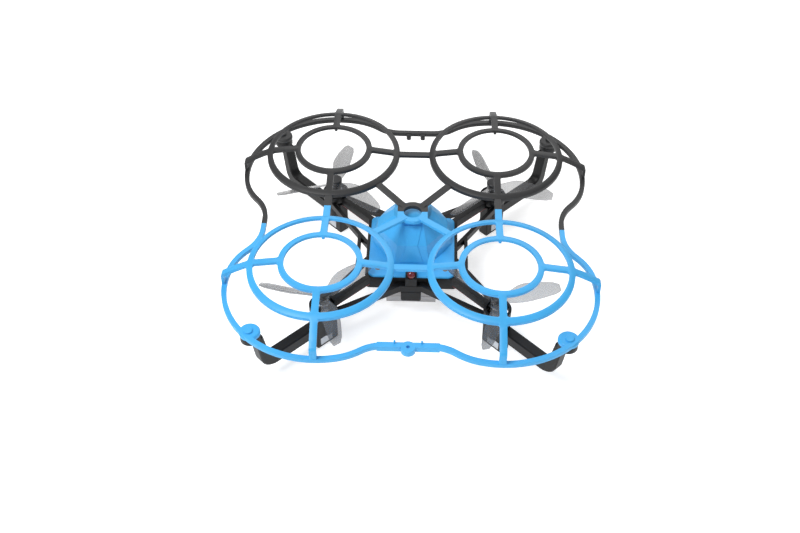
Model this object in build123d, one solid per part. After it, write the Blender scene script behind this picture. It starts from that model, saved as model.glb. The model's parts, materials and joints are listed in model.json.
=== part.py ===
"""A palm-sized quadcopter with a two-part clip-on propeller cage.

Frame: millimetres, +Z up, the drone stands on its four leg pods at Z = 0, its sensor faces -Y,
and the origin is the middle of the footprint.
"""

import os
from math import atan2, cos, degrees, hypot, radians, sin, sqrt, tan

from build123d import *

# ---- overall layout -------------------------------------------------------------------------
MOTOR_PITCH = 85.6            # motor axis to motor axis, along X and along Y
RING_LEVEL = 51.8             # top of the outer propeller rings at their outer edge
PROPELLER_RADIUS = 32.5
PROPELLER_LEVEL = 30.8        # middle plane of the blades
CLEAR = 0.1                   # gap round a piece that only sits in its pocket

# ---- cage -----------------------------------------------------------------------------------
GUARD_THICKNESS = 1.5
INNER_RING = (17.3, 20.2)     # inner and outer radius
OUTER_RING = (32.0, 35.0)
GUARD_RADIUS = 48.2           # rotor axis to the outside of the rim
GUARD_CROWN = 3.6             # how far the inner ring stands above the outer one
GUARD_EAVE = 5.7              # how far the spoke's shoulder hangs below the outer ring
SPOKE_WIDTH = 3.4
RIM_WIDTH = 2.5
RIM_HEIGHT = 2.2
RIM_DROP = 12.7               # outer ring top to rim top
LEG_DROP = 14.8               # outer ring top to the foot of each spoke's leg
SHOULDER_RADIUS = 30.0        # rim bend that leaves each lobe
SHOULDER_ANGLE = 12.0
WAIST_SIDE_INSET = 15.1       # lobe's reach to the middle of the rim at the left and right waists
WAIST_FRONT_INSET = 10.6
WAIST_REAR_INSET = 12.4
FLAT_SIDE = 4.0               # half length of each waist's straight stretch
FLAT_FRONT = 11.0
FLAT_REAR = 9.0
WAIST_BEAM = (3.0, 3.1)       # width and height of the stiffer beam at the front waist
STRUT_WIDTH = 3.3
HUB_PLATE_RADIUS = 7.4
HUB_HOLE_RADIUS = 4.5
HUB_PLATE_DROP = 2.6
HUB_PLATE_THICKNESS = 2.0
LAP = 3.0                     # overlap of the two cage halves where they meet
PAD_RADIUS = 5.0
PAD_INSET = 4.4               # rim's outside to the pad's centre
PAD_HEIGHT = 2.0
PAD_BUTTON = (2.1, 0.9)       # radius, height

# ---- arms, measured outwards from the rotor axis --------------------------------------------
POD_INNER = 6.3
POD_OUTER = 7.0
POD_WIDTH = 6.0
POD_HEIGHT = 20.0
BARREL_WALL = 0.55
BARREL_FLOOR = 6.4
BARREL_TOP = 21.8
COLLAR = (5.6, 6.9)
COLLAR_Z = (21.8, 25.4)
INNER_ARM_WIDTH = 3.0
INNER_ARM_Z = (20.1, 24.4)
OUTER_ARM_WIDTH = 5.8
OUTER_ARM_Z = (9.4, 15.9)
POST_LEAN = (3.4, 3.6)        # how far the post's inner and outer face lean out from foot to head
POST_HEAD_FACES = (5.2, 0.6)  # inside the pad's centre
HEAD_RADIUS = 4.8
HEAD_HEIGHT = 5.2
ELBOW_RADIUS = 9.0

# ---- motor and propeller --------------------------------------------------------------------
MOTOR_RADIUS = 3.5
MOTOR_LENGTH = 20.0
MOTOR_FIT = 0.05              # motor can in its barrel, each side
MOTOR_WALL = 0.4
SHAFT_RADIUS = 0.5
SHAFT_FIT = 0.05
HUB_RADIUS = 3.7
HUB_Z = (28.6, 33.8)
BLADE_RING = (1.75, 3.4)
BLADE_RING_HEIGHT = 2.4
BLADE_COUNT = 3
BLADE_REST = {"front_left": 47.0, "front_right": 18.0, "rear_left": 79.0, "rear_right": 107.0}

# ---- body -----------------------------------------------------------------------------------
TRAY = (46.8, 45.2)
TRAY_Z = (17.2, 24.4)
WALL = 1.4
FLOOR = 1.2
CANOPY_FLANGE = (43.6, 44.6)
CANOPY_FLANGE_THICKNESS = 1.2
CANOPY_TOP = 44.4
CANOPY_WALL = 1.2
SCREW_PLACE = 17.05           # body screws sit at plus and minus this in X and Y
SCREW_RADIUS = 0.78
SCREW_HOLE = 0.80
SCREW_HEAD_RADIUS = 1.25
SCREW_HEAD_HEIGHT = 0.6
SCREW_BOSS = 2.4
BOARD = (28.0, 28.0, 1.0)
BOARD_Z = 20.2

# ---- braces ---------------------------------------------------------------------------------
SIDE_BRACE_WIDTH = 2.1
SIDE_BAR_WIDTH = 1.8
SIDE_BRACE_Z = (18.1, 21.7)
SIDE_BAR_X = 28.0
SIDE_BRACE_ANGLE = 56.5       # plan angle from the X axis
SIDE_BRACE_ROOT = 5.9         # where its line meets the body's side
END_BRACE_WIDTH = 2.8
END_BRACE_Z = (17.2, 21.3)
END_BRACE_X = 6.0
END_BRACE_OFFSET = 3.4        # how far outside the rotor axis its line passes, along Y

# ---- battery, sensor, button ----------------------------------------------------------------
BATTERY = (25.4, 38.0, 8.0)
BATTERY_FRONT = -21.0
BATTERY_BOTTOM = 5.8
RAIL_GAP = 0.3
RAIL_WALL = 1.4
RAIL_LIP = 1.8
RAIL_LENGTH = 27.0
GRIP = (19.0, 2.4, 6.6)
SOCKET = (10.2, 4.4)
SOCKET_BOTTOM = 11.1
SENSOR_RADIUS = 2.9
SENSOR_TOP = 29.6
SENSOR_FRONT = -25.3
SENSOR_DEPTH = 4.6
SENSOR_SLANT = 3.4            # size of the slanted front corner that holds the lens
LENS_RADIUS = 1.95
LED_LENS_SPAN = (-2.5, 5.2)
LED_LENS_Z = (1.5, 6.0)
BUTTON_RADIUS = 1.8
BUTTON_X = 12.0
BUTTON_Z = 21.4
BUTTON_TRAVEL = 0.6
BUTTON_GAP = 0.2
USB = (7.6, 5.6, 2.8)

HALF = MOTOR_PITCH / 2
CORNERS = {"front_left": (-1, -1), "front_right": (1, -1), "rear_left": (-1, 1), "rear_right": (1, 1)}
RIM_TOP = RING_LEVEL - RIM_DROP
RIM_BOTTOM = RIM_TOP - RIM_HEIGHT
BARREL_RADIUS = MOTOR_RADIUS + MOTOR_FIT + BARREL_WALL
WAIST_SIDE = HALF + GUARD_RADIUS - WAIST_SIDE_INSET
WAIST_FRONT = HALF + GUARD_RADIUS - WAIST_FRONT_INSET
WAIST_REAR = HALF + GUARD_RADIUS - WAIST_REAR_INSET
PAD_REACH = GUARD_RADIUS - PAD_INSET
POST_HEAD = (PAD_REACH - POST_HEAD_FACES[0], PAD_REACH - POST_HEAD_FACES[1])
POST_FOOT = (POST_HEAD[0] - POST_LEAN[0], POST_HEAD[1] - POST_LEAN[1])
MOTOR_Z = BARREL_FLOOR + FLOOR
TRAY_FLOOR_TOP = TRAY_Z[0] + FLOOR


def bar(x, y, z):
    """A box from three (low, high) spans."""
    size = (x[1] - x[0], y[1] - y[0], z[1] - z[0])
    middle = ((x[0] + x[1]) / 2, (y[0] + y[1]) / 2, (z[0] + z[1]) / 2)
    return Pos(*middle) * Box(*size)


def post(radius, z, x=0.0, y=0.0):
    """An upright cylinder between two levels."""
    return Pos(x, y, (z[0] + z[1]) / 2) * Cylinder(radius, z[1] - z[0])


def ring(radii, z):
    return post(radii[1], z) - post(radii[0], (z[0] - 1, z[1] + 1))


def beam(start, end, width, z):
    """A straight horizontal bar between two points in plan."""
    run = hypot(end[0] - start[0], end[1] - start[1])
    turn = degrees(atan2(end[1] - start[1], end[0] - start[0]))
    return Pos(start[0], start[1], 0) * Rot(0, 0, turn) * bar((0, run), (-width / 2, width / 2), z)


def at_rotor(corner, shape):
    """Move a shape made about the origin onto a rotor axis."""
    sx, sy = CORNERS[corner]
    return Pos(sx * HALF, sy * HALF, 0) * shape


def outward(corner, shape):
    """As at_rotor, with the shape's +X turned out along the corner's diagonal."""
    sx, sy = CORNERS[corner]
    return at_rotor(corner, Rot(0, 0, degrees(atan2(sy, sx))) * shape)


def write(name, shape):
    solids = shape.solids()
    export_step(Compound(children=list(solids)) if len(solids) > 1 else solids[0], f"parts/{name}.step")


# ---- cage -----------------------------------------------------------------------------------
def guard_profile():
    """Half section of one rotor's guard: a shallow dome that turns down at its edge."""
    crown = RING_LEVEL + GUARD_CROWN
    ring_edge = RING_LEVEL + 1.2
    shoulder = (GUARD_RADIUS - 1.6, RING_LEVEL - GUARD_EAVE)
    edge_top = shoulder[1] - 1.9
    foot = RING_LEVEL - LEG_DROP
    edge = GUARD_RADIUS - 0.15
    t = GUARD_THICKNESS
    top = [
        Line((INNER_RING[0] - 1, crown), (33.0, ring_edge)),
        ThreePointArc((33.0, ring_edge), (40.6, RING_LEVEL - 2.3), shoulder),
        ThreePointArc(shoulder, (edge - 0.4, shoulder[1] - 0.75), (edge, edge_top)),
        Line((edge, edge_top), (edge, foot)),
        Line((edge, foot), (edge - t, foot)),
        Line((edge - t, foot), (edge - t, edge_top)),
        Line((edge - t, edge_top), (shoulder[0] - 0.7, shoulder[1] - t)),
        ThreePointArc((shoulder[0] - 0.7, shoulder[1] - t), (40.0, RING_LEVEL - 2.3 - t), (32.6, ring_edge - t)),
        Line((32.6, ring_edge - t), (INNER_RING[0] - 1, crown - t)),
        Line((INNER_RING[0] - 1, crown - t), (INNER_RING[0] - 1, crown)),
    ]
    return make_face([Plane.XZ * edge for edge in top])


def guard_plan(corner):
    """Plan of one rotor's rings and spokes, as an upright prism to trim the dome with."""
    sx, sy = CORNERS[corner]
    plan = Circle(OUTER_RING[1]) - Circle(OUTER_RING[0])
    plan += Circle(INNER_RING[1]) - Circle(INNER_RING[0])
    inner = (INNER_RING[0] + INNER_RING[1]) / 2
    for angle in (0, 90, 180, 270):
        along = (round(cos(radians(angle))), round(sin(radians(angle))))
        points_out = along[0] == sx or along[1] == sy
        reach = GUARD_RADIUS + 1 if points_out else sum(OUTER_RING) / 2
        plan += Rot(0, 0, angle) * Pos((inner + reach) / 2, 0) * Rectangle(reach - inner, SPOKE_WIDTH)
    corners = [v for v in plan.vertices() if abs(min(abs(v.X), abs(v.Y)) - SPOKE_WIDTH / 2) < 0.01]
    plan = fillet([v for v in corners if hypot(v.X, v.Y) < GUARD_RADIUS], 1.0)
    return extrude(plan, RING_LEVEL + 20)


def waist_edges(level, flat, offset):
    """One quarter-waist of the rim's plan, beside +X: a flat, a hollow bend and a shoulder bend."""
    lobe = GUARD_RADIUS - RIM_WIDTH / 2
    back = radians(SHOULDER_ANGLE)
    shoulder = (HALF + (lobe - SHOULDER_RADIUS) * cos(back), HALF - (lobe - SHOULDER_RADIUS) * sin(back))
    a = level - shoulder[0]
    b = shoulder[1] - flat
    hollow = (a * a + b * b - SHOULDER_RADIUS**2) / (2 * (SHOULDER_RADIUS - a))
    centre = (level + hollow, flat)
    meet = degrees(atan2(centre[1] - shoulder[1], centre[0] - shoulder[0]))
    sweep = 180 - degrees(atan2(shoulder[1] - centre[1], shoulder[0] - centre[0]))
    return [
        Line((level + offset, 0), (level + offset, flat)),
        CenterArc(centre, hollow - offset, 180 - sweep, sweep),
        CenterArc(shoulder, SHOULDER_RADIUS + offset, meet, -SHOULDER_ANGLE - meet),
    ]


def rim_face(offset):
    """The plan inside the rim's middle line, grown by offset."""
    lobe = GUARD_RADIUS - RIM_WIDTH / 2
    edges = []
    diagonal = Plane(origin=(0, 0, 0), z_dir=(1, -1, 0))
    for sy, level, flat in ((-1, WAIST_FRONT, FLAT_FRONT), (1, WAIST_REAR, FLAT_REAR)):
        quarter = waist_edges(WAIST_SIDE, FLAT_SIDE, offset)
        quarter += [edge.mirror(diagonal) for edge in waist_edges(level, flat, offset)]
        quarter.append(CenterArc((HALF, HALF), lobe + offset, -SHOULDER_ANGLE, 90 + 2 * SHOULDER_ANGLE))
        if sy < 0:
            quarter = [edge.mirror(Plane.XZ) for edge in quarter]
        edges += quarter + [edge.mirror(Plane.YZ) for edge in quarter]
    return Face(Wire(edges))


def cage():
    """Both cage halves in one piece, before they are parted."""
    dome = revolve(guard_profile(), Axis.Z)
    whole = []
    for corner, (sx, sy) in CORNERS.items():
        whole.append(at_rotor(corner, dome & guard_plan(corner)))
        pad_x = sx * (HALF + PAD_REACH / sqrt(2))
        pad_y = sy * (HALF + PAD_REACH / sqrt(2))
        pad = post(PAD_RADIUS, (RIM_BOTTOM, RIM_BOTTOM + PAD_HEIGHT), pad_x, pad_y)
        pad = fillet(pad.edges().group_by(Axis.Z)[-1], 1.0)
        out = 0.5
        button_z = (RIM_BOTTOM + PAD_HEIGHT - 1, RIM_BOTTOM + PAD_HEIGHT + PAD_BUTTON[1])
        button = post(PAD_BUTTON[0], button_z, pad_x + sx * out, pad_y + sy * out)
        pad += fillet(button.edges().group_by(Axis.Z)[-1], 0.4)
        pad += post(1.6, (RIM_BOTTOM - 2.4, RIM_BOTTOM), pad_x, pad_y)
        whole.append(pad)
        nub = RING_LEVEL + GUARD_CROWN - GUARD_THICKNESS
        whole.append(at_rotor(corner, post(0.8, (nub - 1.0, nub + 0.4), 0, INNER_RING[0] + 0.4)))
        start = HALF - (OUTER_RING[1] - 1.2) / sqrt(2)
        run = sqrt(2) * (start - 3.6)
        low = RING_LEVEL - HUB_PLATE_DROP
        side = Polyline((0, RING_LEVEL + 0.3), (run, low), (run, low - GUARD_THICKNESS),
                        (0, RING_LEVEL + 0.3 - GUARD_THICKNESS), close=True)
        strut = extrude(Plane.XZ * make_face(side), STRUT_WIDTH / 2, both=True)
        turn = degrees(atan2(-sy, -sx))
        whole.append(Pos(sx * start, sy * start, 0) * Rot(0, 0, turn) * strut)
    link = (RING_LEVEL - GUARD_THICKNESS + 0.3, RING_LEVEL + 0.3)
    gap = HALF - OUTER_RING[1] + 1.2
    for s in (-1, 1):
        across = s * HALF
        width = (across - SPOKE_WIDTH / 2, across + SPOKE_WIDTH / 2)
        whole.append(bar((-gap, gap), width, link))
        whole.append(bar(width, (-gap, gap), link))
    plate_top = RING_LEVEL - HUB_PLATE_DROP
    plate = post(HUB_PLATE_RADIUS, (plate_top - HUB_PLATE_THICKNESS, plate_top))
    plate += bar((-HUB_PLATE_RADIUS - 0.2, HUB_PLATE_RADIUS + 0.2), (-4.6, 4.6), (plate_top - HUB_PLATE_THICKNESS, plate_top))
    whole.append(plate)
    rim = extrude(rim_face(RIM_WIDTH / 2), RIM_HEIGHT / 2, both=True)
    rim -= extrude(rim_face(-RIM_WIDTH / 2), RIM_HEIGHT / 2, both=True)
    whole.append(Pos(0, 0, RIM_BOTTOM + RIM_HEIGHT / 2) * rim)
    beam_w, beam_h = WAIST_BEAM
    reach = FLAT_FRONT + 3.5
    front_beam = bar((-reach, reach), (-WAIST_FRONT - beam_w / 2, -WAIST_FRONT + beam_w / 2), (RIM_TOP - beam_h, RIM_TOP))
    whole.append(front_beam)
    whole.append(post(3.4, (RIM_TOP - beam_h, RIM_TOP), 0, -WAIST_FRONT - 1.2))
    for x in (-6.3, 6.3):
        whole.append(post(0.45, (RIM_TOP - 1, RIM_TOP + 1.6), x, -WAIST_FRONT + 0.9))
    for x in (-3.9, 3.9):
        whole.append(post(1.3, (RIM_BOTTOM - 1.6, RIM_TOP - 0.4), x, WAIST_REAR - 1.4))
    solid = whole[0]
    solid = solid.fuse(*whole[1:])
    solid -= post(HUB_HOLE_RADIUS, (plate_top - 5, plate_top + 5))
    solid -= post(0.9, (RIM_TOP - beam_h - 1, RIM_TOP + 1), 0, -WAIST_FRONT - 1.2)
    return solid


def cage_halves():
    """The cage parted at Y = 0, with the rear half's tongues lapped under the front half."""
    whole = cage()
    far = 200.0
    behind = bar((-far, far), (0, far), (0, far))
    tongues = []
    for s in (-1, 1):
        tongues.append(bar((s * WAIST_SIDE - 4, s * WAIST_SIDE + 4), (-LAP, 0), (RIM_BOTTOM - 1, RIM_BOTTOM + RIM_HEIGHT / 2)))
        level = RING_LEVEL + 0.3 - GUARD_THICKNESS / 2
        tongues.append(bar((s * HALF - 4, s * HALF + 4), (-LAP, 0), (level - 4, level)))
        plate = RING_LEVEL - HUB_PLATE_DROP - HUB_PLATE_THICKNESS / 2
        span = sorted((s * 2.0, s * 12.0))
        tongues.append(bar(span, (-LAP, 0), (plate - 4, plate)))
    parting = behind.fuse(*tongues)
    return whole - parting, whole & parting


# ---- arms -----------------------------------------------------------------------------------
def arm():
    """One arm moulding about its rotor axis: inner arm, motor barrel, leg pod, outer arm and post."""
    pod = bar((-POD_INNER, POD_OUTER), (-POD_WIDTH / 2, POD_WIDTH / 2), (0, POD_HEIGHT))
    pod = fillet(pod.edges().filter_by(Axis.Z), 0.7)
    pod = chamfer(pod.edges().group_by(Axis.Z)[0], 0.3)
    shape = pod + post(BARREL_RADIUS, (BARREL_FLOOR, BARREL_TOP))
    shape += ring(COLLAR, COLLAR_Z)
    reach = sqrt(2) * (HALF - SCREW_PLACE)
    shape += bar((-reach, -COLLAR[0]), (-INNER_ARM_WIDTH / 2, INNER_ARM_WIDTH / 2), INNER_ARM_Z)
    rib = (INNER_ARM_Z[0], COLLAR_Z[1] - 1.0)
    for s in (-1, 1):
        span = sorted((s * (BARREL_RADIUS - 0.3), s * (COLLAR[0] + 0.5)))
        shape += bar(span, (-INNER_ARM_WIDTH / 2, INNER_ARM_WIDTH / 2), rib)
    shape += post(SCREW_BOSS, INNER_ARM_Z, -reach)
    low, high = OUTER_ARM_Z
    head_z = RIM_BOTTOM - HEAD_HEIGHT
    outline = Polyline((POD_OUTER - 1, low), (POST_FOOT[1], low), (POST_HEAD[1], head_z + 1.5),
                       (POST_HEAD[0], head_z + 1.5), (POST_FOOT[0], high), (POD_OUTER - 1, high), close=True)
    elbow = make_face(outline)
    outer = [v for v in elbow.vertices() if abs(v.X - POST_FOOT[1]) < 0.01]
    elbow = fillet(outer, ELBOW_RADIUS)
    inner = [v for v in elbow.vertices() if abs(v.X - POST_FOOT[0]) < 0.01]
    elbow = fillet(inner, ELBOW_RADIUS / 2)
    limb = extrude(Plane.XZ * elbow, OUTER_ARM_WIDTH / 2, both=True)
    shape += chamfer(limb.edges().filter_by(Axis.X), 0.6)
    head = post(HEAD_RADIUS, (head_z, RIM_BOTTOM), PAD_REACH)
    shape += chamfer(head.edges().group_by(Axis.Z)[0], 1.6)
    shape -= post(1.6 + CLEAR, (RIM_BOTTOM - 2.4 - CLEAR, RIM_BOTTOM + 1), PAD_REACH)
    shape -= post(MOTOR_RADIUS + MOTOR_FIT, (MOTOR_Z, COLLAR_Z[1] + 1))
    shape -= post(SCREW_HOLE, (INNER_ARM_Z[0] - 1, INNER_ARM_Z[1] + 1), -reach)
    shape -= bar(LED_LENS_SPAN, (-POD_WIDTH, POD_WIDTH), LED_LENS_Z)
    shape -= bar((LED_LENS_SPAN[0] - 1.0, LED_LENS_SPAN[0]), (-2.0, 2.0), LED_LENS_Z)
    return shape


def led_lens():
    lens = bar(LED_LENS_SPAN, (-POD_WIDTH / 2 - 0.1, POD_WIDTH / 2 + 0.1), LED_LENS_Z)
    return chamfer(lens.edges().filter_by(Axis.Z), 0.25)


def led_board():
    low, high = LED_LENS_Z
    return bar((LED_LENS_SPAN[0] - 0.9, LED_LENS_SPAN[0]), (-1.9, 1.9), (low, high))


# ---- motors and propellers ------------------------------------------------------------------
def motor_can():
    """Steel can, closed at its top round the shaft and open at its bottom."""
    z = (MOTOR_Z, MOTOR_Z + MOTOR_LENGTH)
    can = post(MOTOR_RADIUS, z)
    can = fillet(can.edges().group_by(Axis.Z)[-1], 0.5)
    can += post(1.2, (z[1] - 0.5, z[1] + 0.5))
    can -= post(MOTOR_RADIUS - MOTOR_WALL, (z[0] - 1, z[1] - 1.0))
    return can - post(SHAFT_RADIUS + SHAFT_FIT, (z[0], z[1] + 2))


def motor_end_cap():
    cap = post(MOTOR_RADIUS - MOTOR_WALL, (MOTOR_Z, MOTOR_Z + 1.6))
    return cap - post(SHAFT_RADIUS + SHAFT_FIT, (MOTOR_Z + 0.6, MOTOR_Z + 2))


def motor_magnet():
    return ring((0.9, 1.9), (MOTOR_Z + 5.0, MOTOR_Z + MOTOR_LENGTH - 1.0))


def motor_coil():
    """The winding cup, which turns with the shaft round the fixed magnet."""
    low = MOTOR_Z + 2.4
    cup = post(2.7, (low, MOTOR_Z + MOTOR_LENGTH - 2.0))
    cup -= post(2.3, (low + 1.4, MOTOR_Z + MOTOR_LENGTH))
    return cup - post(SHAFT_RADIUS, (low - 1, low + 3))


def motor_shaft():
    return post(SHAFT_RADIUS, (MOTOR_Z + 0.8, HUB_Z[1] - 1.2))


def hub_base():
    """Collar pressed on the shaft: a flange below the blades and a core through them."""
    core = PROPELLER_LEVEL + BLADE_RING_HEIGHT / 2
    base = post(HUB_RADIUS, (HUB_Z[0], PROPELLER_LEVEL - BLADE_RING_HEIGHT / 2))
    base += post(BLADE_RING[0], (HUB_Z[0], core))
    base = chamfer(base.edges().group_by(Axis.Z)[0], 0.3)
    return base - post(SHAFT_RADIUS, (HUB_Z[0] - 1, HUB_Z[1]))


def hub_cap():
    low = PROPELLER_LEVEL + BLADE_RING_HEIGHT / 2
    cap = post(HUB_RADIUS, (low, HUB_Z[1]))
    cap = fillet(cap.edges().group_by(Axis.Z)[-1], 0.6)
    return cap - post(SHAFT_RADIUS, (low - 1, HUB_Z[1] - 1.2))


def propeller():
    """Three twisted blades on a ring, turning anticlockwise seen from above."""
    stations = ((2.6, 3.2, 1.3, 30), (9.0, 7.4, 1.0, 32), (16.0, 9.2, 0.9, 31), (25.0, 8.2, 0.8, 28),
                (PROPELLER_RADIUS, 5.2, 0.6, 25))
    half = BLADE_RING_HEIGHT / 2
    shape = ring(BLADE_RING, (PROPELLER_LEVEL - half, PROPELLER_LEVEL + half))
    sections = []
    for radius, chord, thickness, pitch in stations:
        plane = Plane(origin=(radius, 0, PROPELLER_LEVEL), x_dir=(0, 1, 0), z_dir=(1, 0, 0))
        sections.append(plane * Rot(0, 0, pitch) * Ellipse(chord / 2, thickness / 2))
    blade = loft(sections) - post(BLADE_RING[0], (0, RING_LEVEL))
    for k in range(BLADE_COUNT):
        shape += Rot(0, 0, k * 360 / BLADE_COUNT) * blade
    return shape


# ---- body -----------------------------------------------------------------------------------
def body_screw():
    """One long screw: canopy flange, arm and tray."""
    top = TRAY_Z[1] + CANOPY_FLANGE_THICKNESS
    head_top = top - 0.1
    screw = post(SCREW_HEAD_RADIUS, (head_top - SCREW_HEAD_HEIGHT, head_top))
    screw += post(SCREW_RADIUS, (TRAY_Z[0] + 1.2, head_top))
    slot = (head_top - 0.3, head_top + 1)
    return screw - bar((-1.0, 1.0), (-0.2, 0.2), slot) - bar((-0.2, 0.2), (-1.0, 1.0), slot)


def at_screws(shape):
    return [Pos(sx * SCREW_PLACE, sy * SCREW_PLACE, 0) * shape for sx, sy in CORNERS.values()]


def body_tray():
    """The lower body: an open tray with the battery rails under it."""
    x, y = TRAY[0] / 2, TRAY[1] / 2
    tray = bar((-x, x), (-y, y), TRAY_Z)
    tray = fillet(tray.edges().filter_by(Axis.Z), 2.4)
    tray -= bar((-x + WALL, x - WALL), (-y + WALL, y - WALL), (TRAY_FLOOR_TOP, TRAY_Z[1] + 1))
    for boss in at_screws(post(SCREW_BOSS, (TRAY_Z[0], INNER_ARM_Z[0]))):
        tray += boss
    for sx, sy in CORNERS.values():
        tray += post(1.3, (TRAY_Z[0], BOARD_Z - BOARD[2]), sx * 11.5, sy * 11.5)
    for corner in CORNERS:
        reach = sqrt(2) * (HALF - SCREW_PLACE)
        slot = bar((-reach, 0), (-INNER_ARM_WIDTH / 2, INNER_ARM_WIDTH / 2), (INNER_ARM_Z[0], TRAY_Z[1] + 1))
        tray -= outward(corner, slot)
        for v in (-0.6, 0.6):
            tray -= outward(corner, Pos(0, v, 0) * lead_rod(0.5 + CLEAR / 2))
    for hole in at_screws(post(SCREW_HOLE, (TRAY_Z[0] + 1.2, TRAY_Z[1]))):
        tray -= hole
    half = BATTERY[0] / 2 + RAIL_GAP
    back = BATTERY_FRONT + BATTERY[1]
    lip_z = (BATTERY_BOTTOM - RAIL_GAP - 0.9, BATTERY_BOTTOM - RAIL_GAP)
    roof = BATTERY_BOTTOM + BATTERY[2] + RAIL_GAP
    tray += bar((-half, half), (back - RAIL_LENGTH, back), (roof, TRAY_Z[0]))
    for s in (-1, 1):
        wall = sorted((s * half, s * (half + RAIL_WALL)))
        lip = sorted((s * (half - RAIL_LIP), s * (half + RAIL_WALL)))
        tray += bar(wall, (back - RAIL_LENGTH, back), (lip_z[0], TRAY_Z[0]))
        tray += bar(lip, (back - RAIL_LENGTH, back), lip_z)
    return tray - Pos(BUTTON_X, y, BUTTON_Z) * Rot(90, 0, 0) * Cylinder(BUTTON_RADIUS + BUTTON_GAP, 6)


def facet_ring(level, front, shoulder, side, rear):
    """Ten points round the canopy at one level, from (x, y) pairs on its right side."""
    right = [front, shoulder, side[0], side[1], rear]
    return [(x, y, level) for x, y in right] + [(-x, y, level) for x, y in reversed(right)]


def gem(rings):
    """A closed faceted solid through stacked rings of points."""
    faces = []
    for low, high in zip(rings, rings[1:]):
        count = len(low)
        for k in range(count):
            n = (k + 1) % count
            faces.append(Face(Wire.make_polygon([low[k], low[n], high[n]])))
            faces.append(Face(Wire.make_polygon([low[k], high[n], high[k]])))
    faces.append(Face(Wire.make_polygon(rings[0])))
    faces.append(Face(Wire.make_polygon(rings[-1])))
    return Solid(Shell(faces))


def canopy_gem(inset, top):
    """The dome, or with an inset the space inside it."""
    base = TRAY_Z[1] + CANOPY_FLANGE_THICKNESS / 2 - (2 if inset else 0)
    waist = TRAY_Z[1] + CANOPY_FLANGE_THICKNESS + 10.0
    i = inset
    rings = [
        facet_ring(base, (8.8 - i, -13.8 + i), (15.4 - i, -5.8 + i), ((20.6 - i, 2.6), (20.6 - i, 11.5)), (18.2 - i, 19.6 - i)),
        facet_ring(waist, (7.4 - i, -10.6 + i), (12.6 - i, -4.0 + i), ((17.8 - i, 3.0), (17.8 - i, 9.6)), (13.8 - i, 16.4 - i)),
        facet_ring(top, (5.4 - i, -3.6 + i), (7.6 - i, -0.5 + i), ((9.4 - i, 2.6), (9.8 - i, 7.4)), (8.6 - i, 12.2 - i)),
    ]
    return gem(rings)


def canopy():
    x, y = CANOPY_FLANGE[0] / 2, CANOPY_FLANGE[1] / 2
    top = TRAY_Z[1] + CANOPY_FLANGE_THICKNESS
    flange = bar((-x, x), (-y, y), (TRAY_Z[1], top))
    flange = fillet(flange.edges().filter_by(Axis.Z), 3.2)
    flange = chamfer(flange.edges().group_by(Axis.Z)[-1], 0.3)
    shape = flange + canopy_gem(0, CANOPY_TOP)
    shape -= canopy_gem(CANOPY_WALL, CANOPY_TOP - CANOPY_WALL)
    head_low = top - 0.1 - SCREW_HEAD_HEIGHT
    for hole in at_screws(post(SCREW_HOLE, (TRAY_Z[1] - 1, top + 1))):
        shape -= hole
    for sink in at_screws(post(SCREW_HEAD_RADIUS + CLEAR, (head_low, top + 2))):
        shape -= sink
    return shape


# ---- braces ---------------------------------------------------------------------------------
def clear_of_arms(shape):
    """Trim a brace where it meets an arm's barrel, pod, collar or inner arm, or the leads below it."""
    reach = sqrt(2) * (HALF - SCREW_PLACE)
    for corner in CORNERS:
        shape -= at_rotor(corner, post(BARREL_RADIUS, (0, RING_LEVEL)))
        shape -= at_rotor(corner, post(COLLAR[1], COLLAR_Z))
        pod = bar((-POD_INNER, POD_OUTER), (-POD_WIDTH / 2, POD_WIDTH / 2), (0, POD_HEIGHT))
        shape -= outward(corner, pod)
        half = INNER_ARM_WIDTH / 2
        shape -= outward(corner, bar((-reach, 0), (-half, half), (INNER_ARM_Z[0] - 1.4, INNER_ARM_Z[1])))
    x, y = TRAY[0] / 2, TRAY[1] / 2
    return shape - bar((-x, x), (-y, y), TRAY_Z)


def side_frame(s):
    """Two straight braces from the body's side to the front and rear pods, joined by an outer bar."""
    slope = tan(radians(SIDE_BRACE_ANGLE))
    wall = TRAY[0] / 2
    tip_y = HALF - 2.3
    tip_x = wall + (tip_y - SIDE_BRACE_ROOT) / slope
    fork_y = SIDE_BRACE_ROOT + (SIDE_BAR_X - wall) * slope
    half = SIDE_BAR_WIDTH / 2
    shape = bar(sorted((s * (SIDE_BAR_X - half), s * (SIDE_BAR_X + half))), (-fork_y, fork_y), SIDE_BRACE_Z)
    root = (wall - 2, SIDE_BRACE_ROOT - 2 * slope)
    for q in (-1, 1):
        shape += beam((s * root[0], q * root[1]), (s * tip_x, q * tip_y), SIDE_BRACE_WIDTH, SIDE_BRACE_Z)
    return clear_of_arms(shape)


def end_brace(s):
    """Brace from one pod to the body's end and on to the other pod."""
    y = s * (TRAY[1] + END_BRACE_WIDTH) / 2
    tip = (HALF - 2.0, s * (HALF + END_BRACE_OFFSET - 1.2))
    shape = beam((-END_BRACE_X, y), (END_BRACE_X, y), END_BRACE_WIDTH, END_BRACE_Z)
    for q in (-1, 1):
        shape += beam((q * END_BRACE_X, y), (q * tip[0], tip[1]), END_BRACE_WIDTH, END_BRACE_Z)
        shape += post(END_BRACE_WIDTH / 2, END_BRACE_Z, q * END_BRACE_X, y)
    return clear_of_arms(shape)


# ---- electronics ----------------------------------------------------------------------------
def lead_rod(radius):
    """One motor lead, straight under the inner arm, from the pod into the tray."""
    start = -POD_INNER
    end = SCREW_BOSS + 0.6 - sqrt(2) * (HALF - SCREW_PLACE)
    return Pos((start + end) / 2, 0, INNER_ARM_Z[0] - 0.65) * Rot(0, 90, 0) * Cylinder(radius, start - end)


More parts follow.
